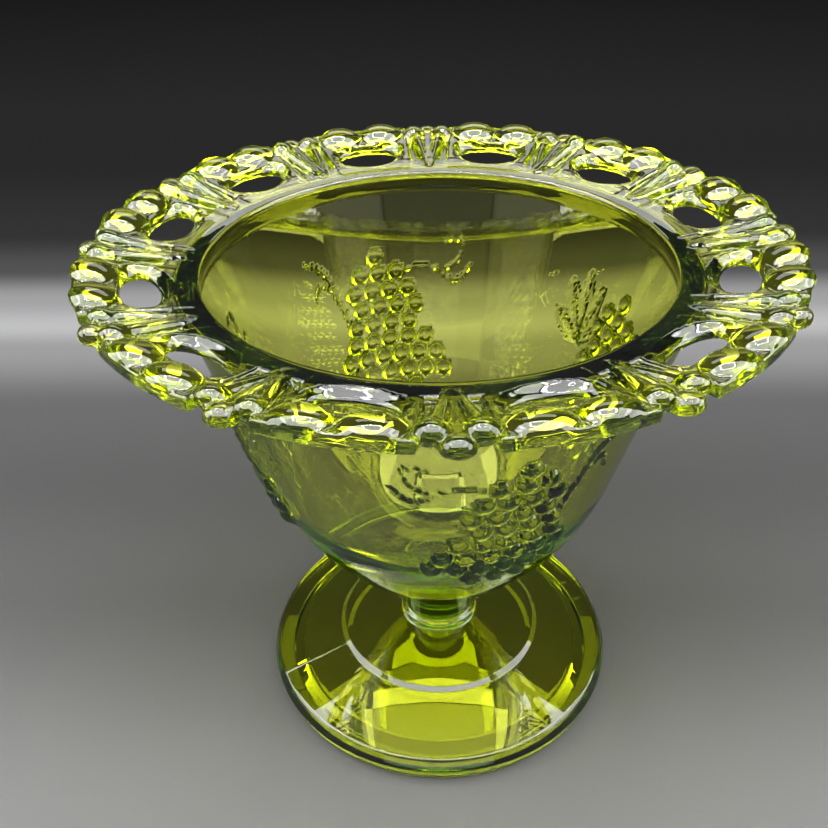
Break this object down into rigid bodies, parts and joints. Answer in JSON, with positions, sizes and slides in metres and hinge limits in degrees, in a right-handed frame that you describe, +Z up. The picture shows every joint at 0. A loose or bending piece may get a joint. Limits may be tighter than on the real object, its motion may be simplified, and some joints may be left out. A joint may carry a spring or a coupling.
{
  "type": "footed glass dish",
  "caption": "Footed pressed-glass dish: a deep bell bowl with raised grapes and leaves, an open lace rim with beaded trefoils, a short neck and a round hollow foot.",
  "frame": {"origin": "middle of the underside of the foot, on the surface that the dish stands on", "axes": "+Z up along the dish's axis; -Y is the front, the side that the picture shows; +X is to the right seen from the front"},
  "size_m": [0.1842, 0.1842, 0.1525],
  "materials": {
    "glass": "gloss"
  },
  "bodies": {
    "root": {"foot": "glass", "stem": "glass", "bowl": "glass", "rim": "glass", "trefoil_01": "glass", "trefoil_02": "glass", "trefoil_03": "glass", "trefoil_04": "glass", "trefoil_05": "glass", "trefoil_06": "glass", "trefoil_07": "glass", "trefoil_08": "glass", "trefoil_09": "glass", "trefoil_10": "glass", "trefoil_11": "glass", "trefoil_12": "glass", "arch_01": "glass", "arch_02": "glass", "arch_03": "glass", "arch_04": "glass", "arch_05": "glass", "arch_06": "glass", "arch_07": "glass", "arch_08": "glass", "arch_09": "glass", "arch_10": "glass", "arch_11": "glass", "arch_12": "glass", "grapes_01": "glass", "grapes_02": "glass", "grapes_03": "glass", "grapes_04": "glass", "tendril_01": "glass", "tendril_02": "glass", "tendril_03": "glass", "tendril_04": "glass", "vine_01": "glass", "vine_02": "glass", "leaf_01": "glass", "leaf_02": "glass"}
  },
  "joints": []
}
